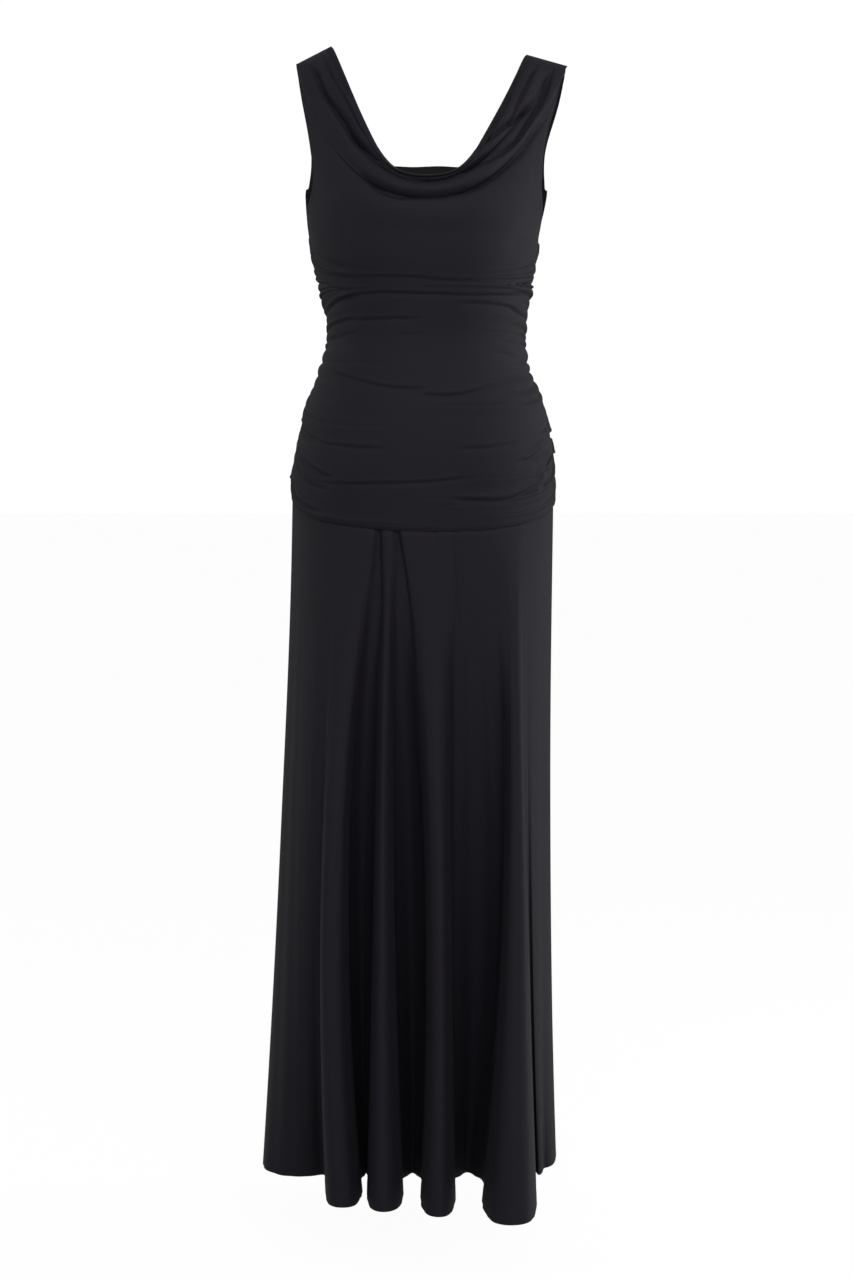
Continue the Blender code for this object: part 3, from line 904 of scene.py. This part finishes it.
@dataclass
class Dress:
    """The whole dress: its five panels and their finishes."""

    form: WornForm = field(default_factory=WornForm)
    ruching: Ruching = field(default_factory=Ruching)
    jersey: Jersey = Jersey("black_jersey", (0.0172, 0.0150, 0.0228), 0.55, 0.22, 0.03, 0.45)
    lining: Jersey = Jersey("lining_jersey", (0.0120, 0.0110, 0.0130), 0.65, 0.15, 0.02, 0.5)
    front_hangs: tuple[Hang, ...] = (
        Hang(0.0, None, 0.0, None, None, 1.00),
        Hang(0.0, -0.470, 0.0, -0.472, -0.492, 1.00),
        Hang(0.0, -0.360, 0.0, -0.362, -0.372, 1.00),
        Hang(0.0, -0.275, 0.0, -0.277, -0.290, 1.00),
        Hang(0.0, -0.206, 0.0, -0.208, -0.240, 1.00),
        Hang(0.1370, -0.165, 0.1390, -0.163, -0.216, 0.97),
        Hang(0.1430, -0.105, 0.1470, -0.100, -0.200, 0.92),
        Hang(0.1550, -0.040, 0.1640, -0.040, -0.188, 0.86),
        Hang(0.1585, -0.0145, 0.1710, -0.0168, -0.179, 0.79),
        Hang(0.1480, -0.0085, 0.1590, -0.0138, -0.1695, 0.72),
        Hang(0.1320, -0.0005, 0.1400, -0.0082, -0.1655, 0.68, 0.74),
        Hang(0.1170, 0.0065, 0.1230, -0.0035, -0.1600, 0.61, 0.88),
    )
    back_hangs: tuple[Hang, ...] = (
        Hang(0.0, None, 0.0, None, None, 1.00),
        Hang(0.0, -0.470, 0.0, -0.472, -0.475, 1.00),
        Hang(0.0, -0.360, 0.0, -0.362, -0.360, 1.00),
        Hang(0.0, -0.275, 0.0, -0.277, -0.275, 1.00),
        Hang(0.0, -0.206, 0.0, -0.208, -0.216, 1.00),
        Hang(0.1488, -0.169, 0.1486, -0.170, -0.196, 0.98),
        Hang(0.1455, -0.158, 0.1465, -0.159, -0.184, 0.97),
        Hang(0.1440, -0.110, 0.1490, -0.110, -0.176, 0.96),
        Hang(0.1585, -0.0145, 0.1710, -0.0168, -0.170, 0.96),
        Hang(0.1480, -0.0085, 0.1590, -0.0138, -0.166, 0.95),
        Hang(0.1320, -0.0005, 0.1400, -0.0082, -0.162, 0.94),
        Hang(0.1170, 0.0065, 0.1230, -0.0035, -0.158, 0.93),
    )
    front_creases: tuple[Crease, ...] = (
        Crease(((-148, -7), (-134, -34), (-126, -56), (-114, -75), (-99, -97), (-86, -119),
                (-70, -134), (-50, -149), (-29, -161), (-2, -168), (22, -165.5), (42, -158),
                (59, -150), (76, -142), (93, -132), (106, -120), (116, -106), (128, -86),
                (137, -72), (144, -57), (150, -37), (156, -20)), 5.8, 8, 1.7, 0, 30, 0.5),
        Crease(((-150, -51), (-127, -93), (-115, -113), (-96, -138), (-80, -155), (-60, -175),
                (-44, -185), (-2, -186.5), (27, -184), (51, -179), (73, -167), (91, -153),
                (103, -141), (116, -128), (127, -111), (137, -98), (152, -70)), 3, 10, 2.6, 0, 50),
        Crease(((-127, -4), (-113, -40), (-101, -62), (-89, -84), (-76, -106),
                (-66, -122)), 2.8, 3, 1.2, 0, 30, 0.9),
        Crease(((-118, -6), (-110.5, -29), (-99.5, -50), (-92, -62.5),
                (-82, -79)), 2.8, 4, 1.2, 0, 30, 0.9),
        Crease(((74, -116), (82, -99), (88.5, -87), (97, -70), (104, -52), (111, -36),
                (126, -12)), 3.4, 3.2, 1.3, 0, 20, 0.9),
        Crease(((102, -96), (108, -78), (117, -59), (126, -38),
                (137.5, -15)), 3.4, 4.2, 1.3, 0, 20, 0.9),
        Crease(((64, -126), (76, -116.5), (93, -102), (108, -92.5), (120.5, -80.5),
                (137, -64)), 6.2, 7.5, 1.4, 0, 30, 1),
        Crease(((-144, -223), (-134, -250), (-110, -264), (-80, -271)), 1.8, 2.6, 8),
        Crease(((-95, -279), (-20, -281), (25, -285), (70, -284)), 0.9),
        Crease(((-126, -318), (-112, -307), (-90, -302), (1, -301), (51, -302), (131, -299)), 1.6),
        Crease(((26, -312), (75, -312), (103.2, -316.2), (116.2, -325.8),
                (125.6, -338)), 1.8, 2.2, 5),
        Crease(((-124, -340), (-108, -331), (-70, -330), (1, -329)), 1.3),
        Crease(((-122, -361), (-98, -347), (-75, -345)), 1.6),
        Crease(((-45, -349), (4, -347)), 0.8),
        Crease(((70, -366), (89, -369), (126, -377)), 1.2),
        Crease(((-134, -374), (-110, -392), (-93, -399), (-45, -411), (10, -413)), 1.6),
        Crease(((-20, -419), (39, -420), (66, -413), (95, -401), (134, -389)), 1.8),
        Crease(((-155, -452), (-131, -475), (-100, -481), (-40, -484)), 1.4),
        Crease(((31, -485), (80, -482), (130, -471)), 1.1),
        Crease(((-164, -494), (-145, -520), (-115, -526), (-75, -526), (1, -524), (64, -517)), 1.3),
        Crease(((-124.2, -322.6), (-112, -309.6), (-97.4, -303.6),
                (-75.9, -299.8)), 2, 1.6, 4.5, 0.4, 18, 0.6),
        Crease(((-120.7, -336.9), (-112.3, -333.3), (-100.8, -330.6),
                (-81, -327.9)), 1.4, 1.5, 4, 0.4, 18, 0.6),
        Crease(((-119.4, -355.3), (-112.6, -351.2), (-103.5, -348.3)), 2, 1.8, 4.5, 0.4, 12, 0.6),
        Crease(((-140, -248.7), (-128.3, -265.3), (-107.6, -276.6),
                (-80.6, -281)), 2, 1.7, 5, 0.4, 24, 0.6),
        Crease(((-126.2, -285.3), (-107.9, -291.2), (-86.9, -297.1)), 1.4, 1.5, 4, 0.4, 18, 0.6),
        Crease(((-153.3, -452.5), (-144.6, -468.2), (-131.4, -477.3)), 2.2, 1.6, 4.5, 0.5, 12, 0.8),
        Crease(((-155.8, -485.9), (-147.5, -500.4), (-130, -512.2),
                (-107.7, -521.6)), 2.6, 1.7, 5, 0.5, 18, 0.8),
        Crease(((-158.3, -501.8), (-150.9, -518.7), (-136.5, -528.6),
                (-116.4, -533.8)), 2.2, 1.6, 4.5, 0.5, 18, 0.8),
        Crease(((-164.9, -524.4), (-156.5, -545.8), (-141.8, -557.3),
                (-122.8, -562.9)), 2.6, 1.8, 5, 0.5, 18, 0.8),
        Crease(((150.2, -466.3), (136.5, -487), (125, -496.5),
                (107.6, -502.4)), 2.8, 1.7, 5, 0.5, 18, 0.8),
        Crease(((152.5, -494.4), (141.6, -514.8), (125.1, -533.9), (102.9, -543.2), (60, -546),
                (20, -544)), 3, 1.8, 5, 0.5, 40, 1),
        Crease(((150.9, -510.1), (142.9, -529.4), (132.7, -541.3)), 2.4, 1.6, 4.5, 0.5, 12, 0.8),
        Crease(((130.4, -301.3), (113.1, -296.6), (94.3, -299.1)), 1.4, 1.5, 4, 0.4, 18, 0.6),
        Crease(((135.2, -274.3), (118.1, -285.5), (97.9, -291.9)), 1.5, 1.5, 4, 0.4, 18, 0.6),
        Crease(((141.2, -246.3), (125.4, -262.4), (110.1, -270)), 1.5, 1.6, 4.5, 0.4, 18, 0.6),
        Crease(((100, -258), (120, -220), (139, -180)), 2.2, 12, 10, 0, 30),
    )
    front_rolls: tuple[Roll, ...] = (
        Roll(9.0, 11.0, 0.0050, 0.0),
        Roll(7.0, 9.0, 0.0070, 0.0),
        Roll(4.3, 7.0, 0.0040, 0.0, 1.0, 1.6),
    )
    back_creases: tuple[Crease, ...] = (
        Crease(((-142, -236), (-120, -252), (-80, -260)), 1.3, 5),
        Crease(((136, -240), (110, -256), (60, -262)), 1.2, 5),
        Crease(((-122, -318), (-80, -310), (10, -309), (80, -312), (120, -322)), 1.6),
        Crease(((-120, -345), (-60, -341), (20, -342)), 1.4),
        Crease(((120, -352), (70, -347), (0, -350)), 1.3),
        Crease(((-128, -382), (-80, -392), (-10, -396)), 1.6),
        Crease(((124, -388), (80, -398), (30, -402)), 1.5),
        Crease(((-150, -452), (-110, -468), (-40, -472)), 1.5),
        Crease(((148, -466), (110, -480), (50, -483)), 1.5),
        Crease(((-160, -500), (-130, -514), (-60, -518)), 1.6),
        Crease(((154, -506), (120, -520), (30, -522)), 1.6),
    )
    front_left: tuple[Turn, ...] = (
        Turn(-1.00, -0.184, 0.010, -0.2105, 0.015),
        Turn(-0.98, -0.180, -0.020, -0.2040, -0.010),
        Turn(-0.94, -0.170, -0.050, -0.1870, -0.028),
        Turn(-0.88, -0.158, -0.074, -0.1650, -0.036),
        Turn(-0.82, -0.146, -0.088, -0.1450, -0.034),
        Turn(-0.76, -0.136, -0.092, -0.1300, -0.028),
    )
    front_folds: tuple[Fold, ...] = (
        Fold(-0.358, 0.012, 0.70, (-0.127, -0.094, -0.128, -0.062), (-0.125, -0.079, -0.152, -0.020)),
        Fold(-0.215, 0.016, 0.0, (-0.064, -0.040, -0.137, -0.066), (-0.074, -0.028, -0.167, -0.022)),
        Fold(0.310, 0.100, 0.0, (-0.003, 0.030, -0.145, -0.076), (-0.008, 0.036, -0.185, -0.020)),
        Fold(0.765, 0.030, 0.75, (0.094, 0.121, -0.152, -0.094), (0.067, 0.135, -0.214, -0.018)),
    )
    front_right: tuple[Turn, ...] = (
        Turn(0.83, 0.1290, -0.092, 0.1410, -0.030),
        Turn(0.88, 0.1350, -0.080, 0.1455, -0.026),
        Turn(0.92, 0.1425, -0.060, 0.1500, -0.004),
        Turn(0.96, 0.1500, -0.036, 0.1560, 0.002),
        Turn(0.985, 0.1550, -0.014, 0.1630, 0.012),
        Turn(1.00, 0.1570, 0.010, 0.1670, 0.032),
    )
    skirt_creases: tuple[Crease, ...] = (
        Crease(((-58, -575), (-58, -665), (-60, -786)), 5, 3.5, 4.5, 0, 120, 1),
        Crease(((-36, -575), (-26, -640), (-18, -724), (-12, -794)), 5, 2, 6, 0, 120, 1),
        Crease(((9, -570), (9, -612)), 1.4, 3, 3, 0, 30, 1),
        Crease(((33, -580), (38, -640), (46, -726)), 1.6, 5, 3, 0, 60, 0.6),
    )
    back_left: tuple[Turn, ...] = (
        Turn(-1.00, -0.184, 0.010, -0.2105, 0.015),
        Turn(-0.98, -0.180, 0.045, -0.2080, 0.050),
        Turn(-0.93, -0.170, 0.080, -0.1960, 0.090),
        Turn(-0.86, -0.156, 0.100, -0.1760, 0.104),
        Turn(-0.78, -0.141, 0.108, -0.1570, 0.094),
    )
    back_folds: tuple[Fold, ...] = (
        Fold(-0.430, 0.030, 0.40, (-0.126, -0.094, 0.146, 0.112), (-0.140, -0.096, 0.166, 0.086)),
        Fold(-0.050, 0.030, 0.0, (-0.062, -0.024, 0.156, 0.116), (-0.070, -0.020, 0.186, 0.090)),
        Fold(0.400, 0.060, 0.0, (0.012, 0.046, 0.154, 0.112), (0.008, 0.054, 0.180, 0.088)),
        Fold(0.800, 0.040, 0.30, (0.080, 0.108, 0.140, 0.098), (0.080, 0.118, 0.160, 0.084)),
    )
    back_right: tuple[Turn, ...] = (
        Turn(0.87, 0.1290, 0.092, 0.1400, 0.094),
        Turn(0.92, 0.1400, 0.082, 0.1520, 0.098),
        Turn(0.965, 0.1500, 0.060, 0.1630, 0.080),
        Turn(0.985, 0.1555, 0.036, 0.1680, 0.056),
        Turn(1.00, 0.1570, 0.010, 0.1670, 0.032),
    )

    def panels(self) -> tuple[Panel, ...]:
        """The five panels, with the shape of each."""
        front = BodicePanel(
            "bodice_front_cloth", "front_bodice", Face.FRONT, self.form, ruching=self.ruching,
            hangs=self.front_hangs, rows_between=(72, 100, 76, 60, 34, 30, 30, 22, 20, 14, 14),
            creases=self.front_creases, rolls=self.front_rolls,
        )
        back = BodicePanel(
            "bodice_back_cloth", "back_bodice", Face.BACK, self.form, ruching=self.ruching,
            hangs=self.back_hangs, rows_between=(60, 84, 64, 50, 24, 22, 20, 10, 6, 4, 4),
            creases=self.back_creases, side_columns=70,
        )
        strip = LiningPanel("lining_strip_cloth", "front_lining", Face.FRONT, self.form)
        skirt_front = SkirtPanel(
            "skirt_front_cloth", "skirt_front", Face.FRONT, self.form, creases=self.skirt_creases,
            left=self.front_left, folds=self.front_folds, right=self.front_right,
        )
        skirt_back = SkirtPanel(
            "skirt_back_cloth", "skirt_back", Face.BACK, self.form,
            left=self.back_left, folds=self.back_folds, right=self.back_right,
        )
        return front, back, strip, skirt_front, skirt_back

    def build(self) -> None:
        """Build and dress the five panels, and log each one's face count and cut size."""
        knit = KnitGroup().build()
        finishes = {"jersey": self.jersey.material(knit), "lining": self.lining.material(knit)}
        cuts = (
            ("jersey", Held.DRAPED, "bodice_back_cloth", (0.46, 0.74), 0.26),
            ("jersey", Held.DRAPED, "bodice_front_cloth", (0.44, 0.66), 0.23),
            ("lining", Held.HUNG, "bodice_front_cloth", (0.19, 0.04), 0.0065),
            ("jersey", Held.HUNG, "bodice_front_cloth", (1.60, 0.86), 0.86),
            ("jersey", Held.HUNG, "bodice_back_cloth", (1.05, 0.86), 0.62),
        )
        for panel, (slot, held, sewn_to, flat, area) in zip(self.panels(), cuts):
            piece = panel.build(panel.shaped(), finishes[slot])
            faces = len(piece.data.polygons)
            log.info("%s: %d faces, cut %.2f x %.2f m", piece.name, faces, *flat)


@dataclass(frozen=True)
class Lamp:
    """A soft lamp: where it stands, what it points at, its size and its power."""

    name: str
    place: tuple[float, float, float]
    target: tuple[float, float, float]
    size: tuple[float, float]
    power: float


@dataclass
class Studio:
    """The pale studio: floor, soft lamps, white surroundings and the camera."""

    floor_z: float = -1.480
    floor_size: float = 60.0
    surroundings: float = 0.22
    camera_place: tuple[float, float, float] = (0.0, -2.8, -0.478)
    camera_tilt: float = 5.0
    lens: float = 63.1
    lamps: tuple[Lamp, ...] = (
        Lamp("key_overhead", (0.4, -1.5, 1.3), (0.0, 0.0, -0.35), (1.4, 1.0), 8.5),
        Lamp("front_fill", (0.1, -3.0, 0.4), (0.0, 0.0, -0.6), (2.4, 1.8), 22.5),
        Lamp("rim_left", (-1.9, 0.5, -0.1), (0.0, 0.0, -0.6), (0.5, 2.2), 4.0),
        Lamp("rim_right", (1.9, 0.3, -0.3), (0.0, 0.0, -0.65), (0.5, 2.1), 13.5),
    )

    def pale(self) -> bpy.types.Material:
        """The floor's pale finish, which looks white and throws little light back."""
        made = bpy.data.materials.new("pale_floor")
        made.use_nodes = True
        nodes, links = made.node_tree.nodes, made.node_tree.links
        bsdf = nodes["Principled BSDF"]
        bsdf.inputs["Base Color"].default_value = (0.5, 0.5, 0.5, 1.0)
        bsdf.inputs["Roughness"].default_value = 0.9
        glow = nodes.new("ShaderNodeEmission")
        glow.inputs["Strength"].default_value = 1.12
        seen = nodes.new("ShaderNodeLightPath")
        share = nodes.new("ShaderNodeMath")
        share.operation = "MULTIPLY"
        share.inputs[1].default_value = 0.86
        mix = nodes.new("ShaderNodeMixShader")
        links.new(seen.outputs["Is Camera Ray"], share.inputs[0])
        links.new(share.outputs[0], mix.inputs[0])
        links.new(bsdf.outputs[0], mix.inputs[1])
        links.new(glow.outputs[0], mix.inputs[2])
        links.new(mix.outputs[0], nodes["Material Output"].inputs["Surface"])
        return made

    def world(self) -> bpy.types.World:
        """The white surroundings, which shine on the dress more softly than they look."""
        made = bpy.data.worlds.new("white_surroundings")
        made.use_nodes = True
        nodes, links = made.node_tree.nodes, made.node_tree.links
        soft = nodes["Background"]
        soft.inputs["Color"].default_value = (1.0, 1.0, 1.0, 1.0)
        soft.inputs["Strength"].default_value = self.surroundings
        white = nodes.new("ShaderNodeBackground")
        white.inputs["Color"].default_value = (1.0, 1.0, 1.0, 1.0)
        white.inputs["Strength"].default_value = 1.02
        seen = nodes.new("ShaderNodeLightPath")
        mix = nodes.new("ShaderNodeMixShader")
        links.new(seen.outputs["Is Camera Ray"], mix.inputs[0])
        links.new(soft.outputs[0], mix.inputs[1])
        links.new(white.outputs[0], mix.inputs[2])
        links.new(mix.outputs[0], nodes["World Output"].inputs["Surface"])
        return made

    def build(self) -> None:
        """Set up the floor, the lamps, the surroundings and the camera."""
        half = self.floor_size / 2
        mesh = bpy.data.meshes.new("studio_floor")
        corners = [(-half, -half), (half, -half), (half, half), (-half, half)]
        mesh.from_pydata([(x, y, self.floor_z) for x, y in corners], [], [(0, 1, 2, 3)])
        mesh.materials.append(self.pale())
        floor = bpy.data.objects.new("studio_floor", mesh)
        bpy.context.scene.collection.objects.link(floor)
        for lamp in self.lamps:
            light = bpy.data.lights.new(lamp.name, "AREA")
            light.shape = "RECTANGLE"
            light.size, light.size_y = lamp.size
            light.energy = lamp.power
            holder = bpy.data.objects.new(lamp.name, light)
            holder.location = lamp.place
            aim = Vector(lamp.target) - Vector(lamp.place)
            holder.rotation_euler = aim.to_track_quat("-Z", "Y").to_euler()
            bpy.context.scene.collection.objects.link(holder)
        bpy.context.scene.world = self.world()
        bpy.context.scene.view_settings.view_transform = "Standard"
        eye = bpy.data.cameras.new("camera")
        eye.lens = self.lens
        eye.sensor_width = 36.0
        camera = bpy.data.objects.new("camera", eye)
        camera.location = self.camera_place
        camera.rotation_euler = (math.radians(90.0 - self.camera_tilt), 0.0, 0.0)
        bpy.context.scene.collection.objects.link(camera)
        bpy.context.scene.camera = camera
        log.info("studio: %d lamps, floor at %.2f m", len(self.lamps), self.floor_z)


def main() -> None:
    """Build the dress and the studio, and note the sizes."""
    Dress().build()
    Studio().build()


if __name__ == "__main__":
    main()
